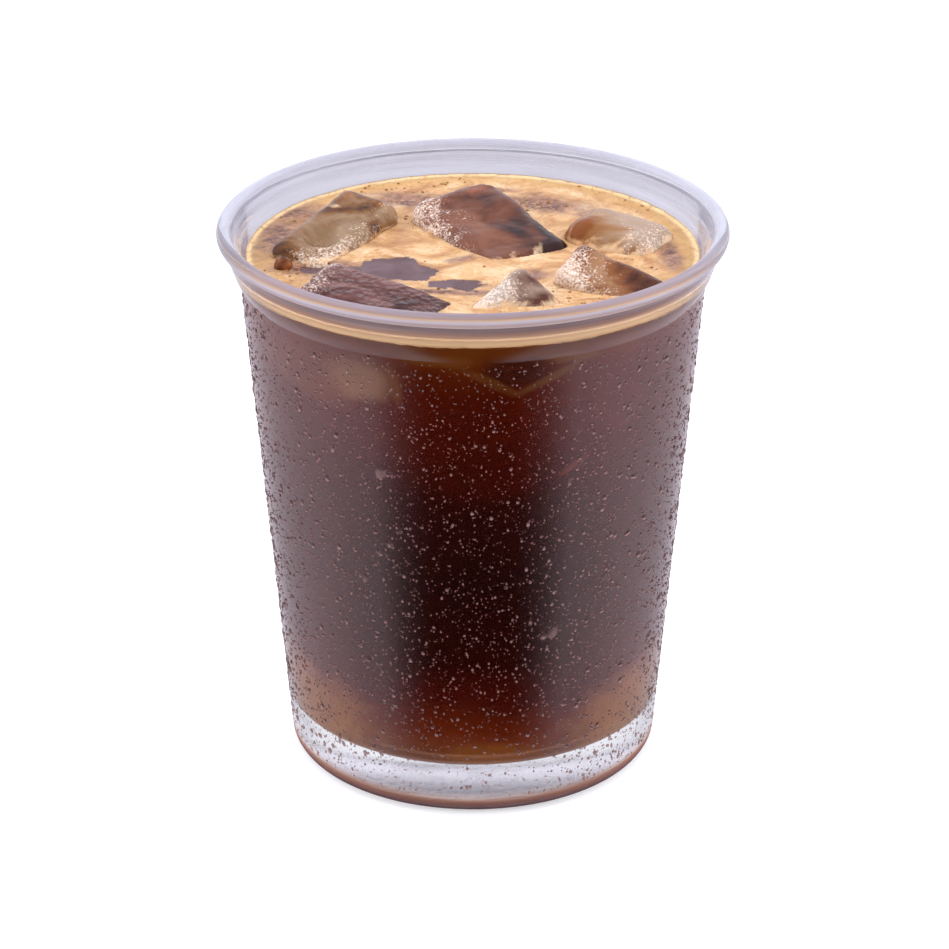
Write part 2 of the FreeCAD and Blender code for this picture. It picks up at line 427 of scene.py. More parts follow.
def coffee_material():
    """Clear dark brown liquid, a little cloudy against the wall of the glass, where a painted glow and
    painted patches of light and shade lie on it, with a painted reflection on its top.
    """
    material, tree = new_material("black_coffee")
    n = Nodes(tree)
    out = n.add("ShaderNodeOutputMaterial")
    x, y, z = n.axes()
    ripple = n.bump(n.noise(120.0, 2.0, 0.5), 0.10, 0.3 * MM)
    shader = n.principled(
        Base_Color=(1.0, 1.0, 1.0, 1.0), Roughness=0.0, IOR=1.333, Transmission_Weight=1.0,
        Normal=ripple)
    wobble = n.math("MULTIPLY_ADD", n.noise(45.0, 2.0, 0.5, 0.6), 8 * MM, -4 * MM)
    level = n.times(n.math("ADD", z, wobble), 1 / (100 * MM))
    # painted glow: the drink's colour by height, lighter near the foot and under the foam
    colour = n.ramp(level, [(height / 100, shade) for height, shade in drink_colours_with_painted_glow])
    front = n.opposite(n.smooth_step(y, -17.0 * MM, -1.0 * MM))
    uneven = n.math("MULTIPLY_ADD", n.noise(150.0, 2.0, 0.5, 0.8), 0.6, -0.30)
    # painted light and shade patches, on the front of the drink only
    for across, up, half_length, half_width, turn, shade, strength in painted_light_and_shade_patches:
        far = n.oval(x, z, across, up, half_length, half_width, turn)
        far = n.math("ADD", far, uneven)
        near = n.opposite(n.smooth_step(far, 0.45, 1.25))
        near = n.times(n.times(near, front), strength)
        colour = n.mix_colour(near, colour, shade)
    cloudy = n.diffuse(colour)
    radius = n.length(x, y)
    inset = n.math("SUBTRACT", radius, n.math("MULTIPLY_ADD", z, wall_slope, inner_radius(0.0)))
    at_floor = n.opposite(n.smooth_step(z, clear_wall_bottom - 2.0 * MM, clear_wall_bottom))
    at_wall = n.math("MAXIMUM", n.smooth_step(inset, -0.7 * MM, -0.1 * MM), at_floor)
    raised = n.smooth_step(z, 9.9 * MM, 10.5 * MM)
    against_glass = n.add("ShaderNodeBsdfRefraction")
    against_glass.inputs["IOR"].default_value = 1.333
    against_glass.inputs["Roughness"].default_value = 0.0
    touching = n.times(
        n.math("GREATER_THAN", inset, 0.0), n.math("GREATER_THAN", z, clear_wall_bottom))
    liquid = n.layer(shader, against_glass, touching)
    mixed = n.layer(liquid, cloudy, n.times(n.times(at_wall, raised), 0.82))
    # painted reflection: a mauve film on the drink's top, in place of the reflected surroundings
    film = n.principled(
        Base_Color=n.ramp(n.noise(160.0, 3.0, 0.6, 1.0), [
            (0.35, srgb(92, 56, 58)), (0.65, srgb(122, 90, 98))]),
        Roughness=0.16, IOR=1.333)
    on_top = n.math("GREATER_THAN", z, coffee_level - 0.02 * MM)
    surfaced = n.layer(mixed, film, n.times(on_top, 0.62))
    n.link(surfaced.outputs[0], out.inputs["Surface"])
    absorb = n.add("ShaderNodeVolumeAbsorption")
    absorb.inputs["Color"].default_value = (0.80, 0.43, 0.13, 1.0)
    absorb.inputs["Density"].default_value = 300.0
    n.link(absorb.outputs[0], out.inputs["Volume"])
    return material


def coffee_profile():
    """Section of the drink, reaching just into the floor and wall of the glass."""
    floor = floor_level - coffee_reach
    top = floor_level + floor_corner
    corner_radius = floor_corner + coffee_reach
    corner_centre = inner_radius(top) - floor_corner
    points = [(0.0, floor)]
    for step in range(13):
        angle = math.radians(-90 + 90 * step / 12)
        points.append((
            corner_centre + corner_radius * math.cos(angle),
            top + corner_radius * math.sin(angle)))
    points.append((inner_radius(coffee_level) + coffee_reach, coffee_level))
    points.append((0.0, coffee_level))
    return points


# ---- ice -----------------------------------------------------------------------------------

ice_names = [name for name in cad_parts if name.startswith("ice_")]


def ice_material(name, look, centre, reach):
    """Wet ice: clear and tinted by the drink, painted in shade toward one side, with frost grains and
    a broken film of foam.
    """
    material, tree = new_material(name)
    n = Nodes(tree)
    out = n.add("ShaderNodeOutputMaterial")
    x, y, z = n.axes()
    hammered = n.voronoi(1000.0, "SMOOTH_F1")
    normal = n.bump(n.noise(150.0, 2.0, 0.5, 0.5), 0.22, 0.5 * MM)
    normal = n.bump(hammered, look["hammer"], 0.45 * MM, normal)
    normal = n.bump(n.noise(900.0, 2.0, 0.6), 0.12, 0.12 * MM, normal)

    def lean(side):
        """How far a point lies toward a side (x, y) of the block, about -1 to 1."""
        across = n.math("MULTIPLY_ADD", x, side[0] / reach, -side[0] * centre[0] / reach)
        along = n.math("MULTIPLY_ADD", y, side[1] / reach, -side[1] * centre[1] / reach)
        return n.math("ADD", across, along)

    # painted shade: each block darker toward its painted shade side
    depth = n.math("MULTIPLY_ADD", lean(look["painted_shade_side"]), -0.32, n.noise(85.0, 3.0, 0.55, 0.8))
    body = n.ramp(depth, [
        (0.36, srgb(*look["dark"])), (0.52, srgb(*look["middle"])), (0.68, srgb(*look["light"]))])
    ice = n.principled(
        Base_Color=body, Roughness=0.05, IOR=1.31, Transmission_Weight=look["clear"],
        Specular_IOR_Level=1.0, Normal=normal)
    toward = n.math("ADD", lean(look["frost_side"]), look["frost"])
    broad = n.noise(130.0, 4.0, 0.65, 1.0)
    grain = n.noise(2300.0, 2.0, 0.7)
    rime = n.math("MULTIPLY_ADD", grain, 1.3, n.math("MULTIPLY_ADD", broad, 1.3, toward))
    rime = n.times(n.smooth_step(rime, 1.55, 2.05), 0.85)
    near_foam = n.opposite(n.smooth_step(z, crema_level + 0.1 * MM, crema_level + 1.8 * MM))
    above = n.smooth_step(z, crema_level - 3.0 * MM, crema_level - 0.2 * MM)
    film = n.math("MULTIPLY_ADD", near_foam, 0.22, n.noise(120.0, 4.0, 0.6, 1.6))
    start = 0.80 - 0.4 * look["film"]
    film = n.times(n.smooth_step(film, start, 1.00 - 0.4 * look["film"]), above)
    frost = n.principled(
        Base_Color=n.ramp(grain, [(0.35, srgb(190, 150, 122)), (0.65, srgb(246, 232, 220))]),
        Roughness=0.35, Normal=normal)
    foam = n.principled(
        Base_Color=n.ramp(n.noise(240.0, 3.0, 0.6), [
            (0.35, srgb(214, 166, 116)), (0.70, srgb(240, 212, 176))]),
        Roughness=0.40, Normal=normal)
    rimed = n.layer(ice, frost, n.times(rime, above))
    filmed = n.layer(rimed, foam, n.times(film, 0.8))
    n.link(filmed.outputs[0], out.inputs["Surface"])
    return material


def sunk_ice_material(name, tint):
    """Ice under the drink: clear, a little cloudy."""
    material, tree = new_material(name)
    n = Nodes(tree)
    out = n.add("ShaderNodeOutputMaterial")
    normal = n.bump(n.noise(170.0, 3.0, 0.6, 0.5), 0.30, 0.5 * MM)
    ice = n.principled(
        Base_Color=tint, Roughness=0.12, IOR=1.31, Transmission_Weight=1.0, Normal=normal)
    n.link(ice.outputs[0], out.inputs["Surface"])
    return material


def worn(mesh, seed, wave=0.5 * MM, dent=0.10 * MM):
    """Melts a block: long soft waves and small hammered dents along its normals."""
    count = len(mesh.vertices)
    normals = [vertex.normal.copy() for vertex in mesh.vertices]
    for index in range(count):
        vertex = mesh.vertices[index]
        place = vertex.co / MM
        long = noise.noise(place * 0.16 + Vector((seed, 0, 0)))
        short = noise.noise(place * 0.75 + Vector((0, seed, 0)))
        vertex.co += normals[index] * (long * wave + short * dent)
    mesh.update()


def ice_block(name, seed):
    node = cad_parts[name]
    piece = add_object("worn_" + name, node.data.copy())
    remesh = piece.modifiers.new("remesh", "REMESH")
    remesh.mode = "VOXEL"
    remesh.voxel_size = 0.45 * MM
    smooth = piece.modifiers.new("smooth", "SMOOTH")
    smooth.iterations = 4
    mesh = applied(piece)
    worn(mesh, seed)
    mesh.polygons.foreach_set("use_smooth", [True] * len(mesh.polygons))
    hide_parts(name)
    return piece


def shrunk_copy(piece, depth):
    """A throwaway copy of a piece, smaller by `depth` all over."""
    mesh = piece.data.copy()
    normals = [vertex.normal.copy() for vertex in mesh.vertices]
    for vertex, normal in zip(mesh.vertices, normals):
        vertex.co -= normal * depth
    copy = bpy.data.objects.new("cutter", mesh)
    bpy.context.scene.collection.objects.link(copy)
    return copy


# Tints of each block, the side (x, y) it is painted in shade toward, how clear it is, how deep its
# hammered dents look, how much frost it has and toward which side (x, y), and how much of it the foam
# covers.
ice_looks = {
    "ice_back_left": {
        "dark": (78, 36, 18), "middle": (170, 112, 58), "light": (214, 176, 136),
        "painted_shade_side": (-0.45, 0.25), "clear": 0.60, "hammer": 0.12, "frost": 0.00,
        "frost_side": (0.55, -0.55), "film": 0.45},
    "ice_back": {
        "dark": (62, 20, 8), "middle": (146, 82, 54), "light": (180, 116, 88),
        "painted_shade_side": (0.75, 0.10), "clear": 0.60, "hammer": 0.05, "frost": -0.18,
        "frost_side": (-0.85, -0.25), "film": 0.12},
    "ice_right": {
        "dark": (160, 88, 26), "middle": (188, 136, 86), "light": (210, 178, 152),
        "painted_shade_side": (-0.30, 0.30), "clear": 0.45, "hammer": 0.20, "frost": 0.04,
        "frost_side": (0.40, -0.30), "film": 0.62},
    "ice_right_front": {
        "dark": (84, 34, 14), "middle": (168, 100, 50), "light": (206, 154, 110),
        "painted_shade_side": (0.70, 0.20), "clear": 0.50, "hammer": 0.45, "frost": 0.06,
        "frost_side": (-0.70, -0.30), "film": 0.25},
    "ice_front": {
        "dark": (110, 60, 44), "middle": (200, 172, 152), "light": (240, 230, 224),
        "painted_shade_side": (0.65, -0.30), "clear": 0.45, "hammer": 0.25, "frost": 0.20,
        "frost_side": (-0.60, 0.10), "film": 0.50},
    "ice_left_front": {
        "dark": (58, 26, 22), "middle": (98, 54, 48), "light": (136, 92, 88),
        "painted_shade_side": (0.20, -0.20), "clear": 0.30, "hammer": 1.00, "frost": -0.25,
        "frost_side": (-0.80, 0.10), "film": 0.00},
}


def make_ice():
    pieces = []
    for seed, name in enumerate(ice_names):
        piece = ice_block(name, 3.7 * seed)
        low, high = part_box(name)
        centre = 0.5 * (low + high)
        reach = 0.5 * (high.x - low.x)
        piece.data.materials.clear()
        piece.data.materials.append(ice_material("wet_" + name, ice_looks[name], centre, reach))
        pieces.append(piece)
    return pieces


def sunk_block(name, size, place, turn, seed, material):
    """A worn ice block wholly under the drink."""
    builder = bmesh.new()
    bmesh.ops.create_cube(builder, size=1.0)
    bmesh.ops.scale(builder, vec=size, verts=builder.verts)
    bmesh.ops.bevel(
        builder, geom=builder.edges[:], offset=3.0 * MM, segments=4, profile=0.6,
        affect="EDGES")
    bmesh.ops.rotate(
        builder, verts=builder.verts, cent=(0, 0, 0),
        matrix=Matrix.Rotation(math.radians(turn[2]), 3, "Z")
        @ Matrix.Rotation(math.radians(turn[1]), 3, "Y")
        @ Matrix.Rotation(math.radians(turn[0]), 3, "X"))
    bmesh.ops.translate(builder, verts=builder.verts, vec=place)
    mesh = bpy.data.meshes.new(name)
    builder.to_mesh(mesh)
    builder.free()
    piece = add_object(name, mesh)
    remesh = piece.modifiers.new("remesh", "REMESH")
    remesh.mode = "VOXEL"
    remesh.voxel_size = 0.8 * MM
    mesh = applied(piece)
    worn(mesh, seed, 0.7 * MM, 0.15 * MM)
    mesh.polygons.foreach_set("use_smooth", [True] * len(mesh.polygons))
    mesh.materials.clear()
    mesh.materials.append(material)
    return piece


# Blocks under the drink: size, place of the middle and turns, in millimetres and degrees.
sunk_blocks = [
    ((22, 20, 22), (14, -14, 64), (25, 12, 40)),
    ((22, 21, 20), (-13, -12, 60), (12, -24, 15)),
    ((22, 22, 21), (-10, 14, 62), (-20, 15, 55)),
    ((21, 22, 22), (15, 12, 60), (18, 20, 10)),
]


def make_sunk_ice():
    material = sunk_ice_material("sunk_ice", (0.97, 0.95, 0.95, 1.0))
    pieces = []
    for index, (size, place, turn) in enumerate(sunk_blocks):
        pieces.append(sunk_block(
            "sunk_ice_%d" % (index + 1), [MM * part for part in size],
            [MM * part for part in place], turn, 51.0 + index, material))
    return pieces


def make_coffee(ice):
    piece = add_object("coffee_liquid", lathe("coffee_liquid", coffee_profile()))
    cutters = []
    for block in ice:
        cutter = shrunk_copy(block, 0.06 * MM)
        cutters.append(cutter)
        cut = piece.modifiers.new("cut", "BOOLEAN")
        cut.operation = "DIFFERENCE"
        cut.object = cutter
        cut.solver = "MANIFOLD"
    mesh = applied(piece)
    for cutter in cutters:
        bpy.data.objects.remove(cutter)
    mesh.materials.clear()
    mesh.materials.append(coffee_material())
    for face in mesh.polygons:
        face.use_smooth = face.center.z < coffee_level - 0.01 * MM or face.normal.z < 0.99
    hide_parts("coffee")
    return piece


# ---- crema ---------------------------------------------------------------------------------

# Openings where the dark drink shows, then thin places in the foam: middle x, y, half
# length, half width in millimetres and turn in degrees.
open_patches = [
    (-13.4, -8.8, 7.2, 5.0, -38),
    (-2.2, -16.4, 6.0, 2.2, -6),
    (-24.5, -9.6, 7.5, 2.2, -6),
]
thin_patches = [
    (-26.0, -9.0, 12.0, 4.6, -4),
    (-36.5, 8.0, 4.2, 13.0, -8),
    (-33.0, 20.0, 6.5, 5.0, 30),
    (-12.5, 27.5, 10.0, 4.4, -10),
    (14.0, 25.5, 11.0, 4.8, -22),
    (24.0, 19.0, 6.5, 3.8, -35),
    (36.6, -2.0, 2.4, 9.0, 4),
    (-4.0, -20.4, 13.0, 1.7, -3),
    (-17.0, -13.0, 5.6, 3.8, -30),
    (10.5, -12.0, 4.2, 2.8, 20),
    (-2.0, -4.0, 3.4, 1.8, 30),
    (22.0, -5.0, 4.2, 2.2, 60),
    (3.0, 33.0, 7.0, 1.8, 0),
]


def crema_material():
    """Fine tan foam, swirled, with small bubbles and thin brown places; paler at the wall and painted
    brighter there, with painted shade on the underside.
    """
    material, tree = new_material("crema_foam")
    n = Nodes(tree)
    out = n.add("ShaderNodeOutputMaterial")
    x, y, z = n.axes()
    radius = n.length(x, y)
    swirl = n.noise(75.0, 5.0, 0.62, 2.2)
    colour = n.ramp(swirl, [
        (0.30, srgb(152, 104, 70)), (0.42, srgb(188, 144, 100)), (0.53, srgb(210, 170, 124)),
        (0.66, srgb(224, 198, 164))])
    ring = n.smooth_step(radius, surface_radius - 6.0 * MM, surface_radius - 2.6 * MM)
    colour = n.mix_colour(n.times(ring, 0.75), colour, srgb(200, 156, 98))
    # the foam at the wall is paler, and painted brighter still to make up for the light that the glass
    # keeps off it
    at_wall = n.smooth_step(radius, surface_radius - 1.6 * MM, surface_radius - 0.5 * MM)
    colour = n.mix_colour(n.times(at_wall, 0.9), colour, srgb(255, 212, 160))
    thin = None
    for across, along, half_length, half_width, turn in thin_patches + open_patches:
        far = n.oval(x, y, across, along, half_length, half_width, turn)
        thin = far if thin is None else n.math("MINIMUM", thin, far)
    ragged = n.math("MULTIPLY_ADD", n.noise(150.0, 5.0, 0.65, 1.5), 1.5, -0.75)
    ragged = n.math("ADD", thin, ragged)
    thick = n.smooth_step(ragged, 0.30, 1.35)
    flecks = n.smooth_step(n.noise(420.0, 3.0, 0.6, 2.0), 0.50, 0.62)
    thick = n.math("MAXIMUM", thick, n.times(flecks, 0.38))
    thick = n.math("MAXIMUM", thick, at_wall)
    streaks = n.smooth_step(n.noise(210.0, 4.0, 0.62, 3.0), 0.50, 0.66)
    colour = n.mix_colour(n.times(streaks, 0.55), colour, srgb(178, 124, 78))
    pores = n.voronoi(950.0)
    spots = n.smooth_step(pores, 0.10, 0.24)
    colour = n.mix_colour(spots, n.mix_colour(0.55, colour, srgb(150, 96, 58)), colour)
    # painted shade: the underside of the foam ring darker and more orange
    painted_underside_shade = n.opposite(n.smooth_step(z, crema_level - 1.9 * MM, crema_level - 1.1 * MM))
    colour = n.mix_colour(n.times(painted_underside_shade, 0.8), colour, srgb(224, 146, 74))
    normal = n.bump(n.noise(900.0, 4.0, 0.6), 0.45, 0.14 * MM)
    normal = n.bump(swirl, 0.8, 1.5 * MM, normal)
    foam = n.principled(
        Base_Color=colour, Roughness=0.50, Subsurface_Weight=0.25, Subsurface_Scale=0.6 * MM,
        Subsurface_Radius=(1.0, 0.7, 0.4), Normal=normal)
    brew = n.principled(
        Base_Color=n.ramp(n.noise(230.0, 3.0, 0.6, 1.0), [
            (0.35, srgb(92, 54, 44)), (0.65, srgb(160, 116, 92))]),
        Roughness=0.10, IOR=1.333)
    n.link(n.layer(brew, foam, thick).outputs[0], out.inputs["Surface"])
    return material


def open_distance(x, y):
    """About how far, in metres, a point of the surface lies outside the open patches."""
    best = 1.0
    for across, along, half_length, half_width, turn in open_patches:
        c = math.cos(math.radians(turn))
        d = math.sin(math.radians(turn))
        u = (x - across * MM) * c + (y - along * MM) * d
        v = (y - along * MM) * c - (x - across * MM) * d
        far = math.hypot(u / (half_length * MM), v / (half_width * MM)) - 1.0
        best = min(best, far * min(half_length, half_width) * MM)
    wave = fractal(x / (4.5 * MM), y / (4.5 * MM), 20.0) * 1.6 + fractal(
        x / (1.3 * MM), y / (1.3 * MM), 30.0) * 0.5
    return best + wave * MM


def add_wall_ring(points, faces):
    """The thicker, wavy ring of foam that climbs the wall, added to the foam's points and faces."""
    around = 720
    first = len(points)
    profile_size = 11
    reach = crema_reach / MM
    for step in range(around):
        angle = 2 * math.pi * step / around
        turn = Vector((math.cos(angle), math.sin(angle), 0.0))
        wave = noise.noise(turn * 3.1 + Vector((0, 0, 5.0)))
        ripple = noise.noise(turn * 19.0 + Vector((0, 0, 8.0)))
        low = -1.65 - 0.50 * wave - 0.25 * ripple
        crest = -0.02 + 0.14 * ripple + 0.10 * wave
        for offset, height in (
                (-3.2, -0.62), (-1.9, -0.40), (-1.0, -0.22), (-0.4, crest - 0.10), (reach, crest),
                (reach, 0.5 * (crest + low)), (reach, low + 0.30), (-0.05, low + 0.08), (-0.5, low),
                (-1.6, low + 0.35), (-3.2, -0.95)):
            level = crema_level + height * MM
            radius = inner_radius(level) + offset * MM
            points.append((radius * turn.x, radius * turn.y, level))
    for step in range(around):
        here = first + step * profile_size
        there = first + (step + 1) % around * profile_size
        for k in range(profile_size):
            after = (k + 1) % profile_size
            faces.append((here + k, there + k, there + after, here + after))


def search_trees(pieces):
    """A tree of each piece's faces, to find how near a point is."""
    return [BVHTree.FromPolygons(
        [vertex.co.copy() for vertex in piece.data.vertices],
        [face.vertices[:] for face in piece.data.polygons]) for piece in pieces]


def make_foam_bubbles(ice):
    """Small bubbles standing in the foam, in loose groups."""
    chance = random.Random(31)
    trees = search_trees(ice)
    material, tree = new_material("foam_bubbles")
    n = Nodes(tree)
    out = n.add("ShaderNodeOutputMaterial")
    clear = n.add("ShaderNodeBsdfTransparent")
    clear.inputs["Color"].default_value = (0.85, 0.72, 0.55, 1.0)
    skin = n.principled(
        Base_Color=n.ramp(n.noise(500.0, 2.0), [
            (0.35, srgb(120, 72, 42)), (0.65, srgb(214, 168, 118))]),
        Roughness=0.06, IOR=1.333)
    n.link(n.layer(clear, skin, 0.55).outputs[0], out.inputs["Surface"])
    shape, shape_faces = drop_shape(10, 4)
    verts = []
    faces = []
    groups = [(chance.uniform(-38, 38), chance.uniform(-38, 38)) for _ in range(46)]
    tries = 0
    while len(verts) < 420 * len(shape) and tries < 9000:
        tries += 1
        group = chance.choice(groups)
        x = (group[0] + chance.gauss(0, 3.0)) * MM
        y = (group[1] + chance.gauss(0, 2.2)) * MM
        size = (0.10 + 0.32 * chance.random() ** 3) * MM
        place = Vector((x, y, crema_level - 0.1 * MM))
        clear_of_ice = min(t.find_nearest(place)[3] for t in trees) > size + 0.15 * MM
        inside_ice = any((place - t.find_nearest(place)[0]).dot(t.find_nearest(place)[1]) < 0
                         for t in trees)
        if math.hypot(x, y) > surface_radius - 1.2 * MM or inside_ice or not clear_of_ice:
            continue
        if open_distance(x, y) < size + 0.3 * MM:
            continue
        start = len(verts)
        base = np.array((x, y, crema_level - 0.24 * MM))
        verts.extend((base + shape * (size, size, 0.7 * size)).tolist())
        faces.extend([tuple(start + index for index in face) for face in shape_faces])
    mesh = mesh_from("foam_bubbles", verts, faces)
    mesh.materials.append(material)
    return add_object("foam_bubbles", mesh)


def make_bubble():
    """The one large amber bubble by the left wall."""
    material, tree = new_material("amber_bubble")
    n = Nodes(tree)
    out = n.add("ShaderNodeOutputMaterial")
    skin = n.principled(
        Base_Color=n.ramp(n.noise(420.0, 2.0, 0.6, 1.0), [
            (0.35, srgb(70, 26, 12)), (0.65, srgb(176, 104, 56))]),
        Roughness=0.06, IOR=1.333, Transmission_Weight=0.35)
    n.link(skin.outputs[0], out.inputs["Surface"])
    builder = bmesh.new()
    bmesh.ops.create_icosphere(builder, subdivisions=4, radius=1.75 * MM)
    bmesh.ops.translate(builder, verts=builder.verts, vec=(-34.8 * MM, -8.1 * MM, crema_level))
    mesh = bpy.data.meshes.new("bubble")
    builder.to_mesh(mesh)
    builder.free()
    mesh.polygons.foreach_set("use_smooth", [True] * len(mesh.polygons))
    mesh.materials.append(material)
    add_object("bubble", mesh)


foam_step = 0.36 * MM                  # mesh of the foam's sheet
foam_reach = surface_radius - 0.5 * MM  # the sheet ends here, inside the ring at the wall
foam_sink = 0.22 * MM                  # top of the sheet under the crema's level
foam_climb = 0.35 * MM                 # how high it climbs the ice
foam_climb_length = 0.7 * MM
foam_swell = 0.10 * MM
foam_depth = 0.55 * MM


def ice_distance(trees, place):
    """Signed distance to the nearest ice, and the nearest point on it; inside is negative."""
    best = (1.0, None)
    for tree in trees:
        near, normal, face, distance = tree.find_nearest(place)
        if (place - near).dot(normal) < 0:
            distance = -distance
        if distance < best[0]:
            best = (distance, near)
    return best


def opening_edge(place, gap):
    """The nearest point on the edge of an open patch, at most one step of the sheet away."""
    nudge = 0.05 * MM
    slope = Vector((
        open_distance(place.x + nudge, place.y) - gap,
        open_distance(place.x, place.y + nudge) - gap)) / nudge
    shift = min(max(gap / max(slope.length_squared, 0.3), -foam_step), foam_step)
    return Vector((place.x - shift * slope.x, place.y - shift * slope.y, place.z))


def scan_surface(ice):
    """For each grid point: place, radius, distance to the foam's edge, that edge, if an opening."""
    trees = search_trees(ice)
    count = int(foam_reach / foam_step) + 2
    found = {}
    for i in range(-count, count + 1):
        for j in range(-count, count + 1):
            place = Vector((i * foam_step, j * foam_step, crema_level - 0.1 * MM))
            radius = math.hypot(place.x, place.y)
            if radius > foam_reach + foam_step:
                continue
            distance, near = ice_distance(trees, place)
            gap = open_distance(place.x, place.y)
            if gap < distance:
                found[i, j] = (place, radius, gap, opening_edge(place, gap), True)
            else:
                found[i, j] = (place, radius, distance, near, False)
    return found


def foam_heights(x, y, distance, at_opening):
    """Top and underside of the foam at a point."""
    rise = foam_climb * math.exp(-max(distance, 0) / foam_climb_length)
    if at_opening:
        rise *= -0.4
    swell = foam_swell * fractal(x / (6 * MM), y / (6 * MM), 0.0)
    top = min(crema_level - foam_sink + rise + swell, crema_level + 0.6 * MM)
    depth = foam_depth * (1.0 + 0.35 * fractal(x / (5 * MM), y / (5 * MM), 9.0))
    return top, crema_level - 0.35 * MM - depth


def foam_sheet(found):
    """Points and faces of the foam's sheet, its edge drawn to the ice, openings and wall."""
    keep = {key for key, about in found.items() if about[2] > -0.5 * foam_step}
    points = []
    top = {}
    low = {}
    for key in keep:
        place, radius, distance, near, at_opening = found[key]
        x, y = place.x, place.y
        if distance < 0.5 * foam_step:
            x, y = near.x, near.y
        if radius > foam_reach - 0.5 * foam_step:
            x, y = x * (foam_reach / radius), y * (foam_reach / radius)
        high, under = foam_heights(x, y, distance, at_opening)
        top[key] = len(points)
        points.append((x, y, high))
        low[key] = len(points)
        points.append((x, y, under))
    faces = []
    edges = {}
    for (i, j) in keep:
        corners = [(i, j), (i + 1, j), (i + 1, j + 1), (i, j + 1)]
        if not all(corner in keep for corner in corners):
            continue
        if min(found[corner][1] for corner in corners) >= foam_reach - 0.2 * foam_step:
            continue
        faces.append([top[corner] for corner in corners])
        faces.append([low[corner] for corner in reversed(corners)])
        for a, b in zip(corners, corners[1:] + corners[:1]):
            edges[a, b] = True
    for a, b in edges:
        if (b, a) not in edges:
            faces.append([top[b], top[a], low[a], low[b]])
    return points, faces


def without_loose_points(mesh):
    builder = bmesh.new()
    builder.from_mesh(mesh)
    loose = [vertex for vertex in builder.verts if not vertex.link_faces]
    bmesh.ops.delete(builder, geom=loose, context="VERTS")
    builder.to_mesh(mesh)
    builder.free()
    return mesh


def make_crema(ice):
    points, faces = foam_sheet(scan_surface(ice))
    add_wall_ring(points, faces)
    mesh = without_loose_points(mesh_from("crema_foam", points, faces))
    piece = add_object("crema_foam", mesh)
    mesh.materials.append(crema_material())
    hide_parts("crema")
    return piece


# ---- condensation --------------------------------------------------------------------------

def water_material(name, body):
    """Small drops with painted refraction: dark on the upper side and light on the lower, as clear
    drops turn the view, and paler over the foot.
    """
    material, tree = new_material(name)
    n = Nodes(tree)
    out = n.add("ShaderNodeOutputMaterial")
    clear = n.add("ShaderNodeBsdfTransparent")
    facing = n.axes(n.add("ShaderNodeNewGeometry").outputs["Normal"])
    # painted refraction: lighter on the drop's lower side, darker on its upper side, paler over the
    # foot
    upper = n.smooth_step(facing[2], -0.30, 0.40)
    above_foot = n.smooth_step(n.axes()[2], 9.0 * MM, 14.0 * MM)
    shade = n.mix_colour(above_foot, srgb(150, 108, 90), srgb(50, 24, 24))
    tint = n.mix_colour(upper, srgb(190, 150, 146), shade)
    water = n.principled(
        Base_Color=tint, Roughness=0.15, IOR=1.333, Specular_IOR_Level=0.8)
    n.link(n.layer(clear, water, body).outputs[0], out.inputs["Surface"])
    return material


def drop_shape(segments, rings):
    """A flat-backed cap of radius 1 and height 1: (x, y, z) points and its faces."""
    points = [(0.0, 0.0, 1.0)]
    faces = []
    for ring in range(1, rings + 1):
        tilt = 0.5 * math.pi * ring / rings
        for step in range(segments):
            angle = 2 * math.pi * (step + 0.5 * (ring % 2)) / segments
            points.append((
                math.sin(tilt) * math.cos(angle), math.sin(tilt) * math.sin(angle),
                math.cos(tilt)))
    for step in range(segments):
        after = (step + 1) % segments
        faces.append((0, 1 + step, 1 + after))
        for ring in range(1, rings):
            inner = 1 + (ring - 1) * segments
            outer = 1 + ring * segments
            if ring % 2:
                faces.append((inner + step, outer + step, outer + after))
                faces.append((inner + step, outer + after, inner + after))
            else:
                faces.append((inner + step, outer + step, inner + after))
                faces.append((outer + step, outer + after, inner + after))
    last = 1 + (rings - 1) * segments
    faces.append(tuple(last + step for step in reversed(range(segments))))
    return np.array(points), faces


def make_drops(
        name, count, smallest, largest, segments, rings, seed, material, low, high, placed=()):
    """Drops of one kind in one piece, sunk a little into the outside of the glass."""
    chance = random.Random(seed)
    shape, shape_faces = drop_shape(segments, rings)
    verts = []
    faces = []
    for drop in range(count + len(placed)):
        angle = chance.uniform(0, 2 * math.pi)
        height = chance.uniform(low, high)
        clump = noise.noise(Vector((3 * math.cos(angle), 3 * math.sin(angle), height * 60 + seed)))
        size = smallest + (largest - smallest) * chance.random() ** 2.2 * (1 + 0.5 * clump)
        size *= 1.18 - 0.48 * max(-math.sin(angle), 0.0) ** 6
        stretch = 1.0 + 0.7 * chance.random() ** 2
        if drop >= count:
            aside, up, size = placed[drop - count]
            angle = math.radians(aside - 90)
            height = up * MM
            size *= MM
        wobble = [chance.uniform(0.85, 1.15) for _ in range(segments)]
        turn = chance.uniform(-0.35, 0.35)
        radius = outer_radius(height)
        out = np.array((math.cos(angle), math.sin(angle), -wall_slope))
        out /= np.linalg.norm(out)
        side = np.array((-math.sin(angle), math.cos(angle), 0.0))
        rise = np.cross(out, side)
        first = side * math.cos(turn) + rise * math.sin(turn)
        second = rise * math.cos(turn) - side * math.sin(turn)
        base = np.array((radius * math.cos(angle), radius * math.sin(angle), height))
        base -= out * 0.06 * size
        scaled = shape.copy()
        for index in range(1, len(scaled)):
            scaled[index, :2] *= wobble[(index - 1) % segments]
        place = (
            base + np.outer(scaled[:, 0] * size, first)
            + np.outer(scaled[:, 1] * size * stretch, second)
            + np.outer(scaled[:, 2] * size * 0.52, out))
        start = len(verts)
        verts.extend(place.tolist())
        faces.extend([tuple(start + index for index in face) for face in shape_faces])
    mesh = mesh_from(name, verts, faces)
    mesh.materials.append(material)
    return add_object(name, mesh)


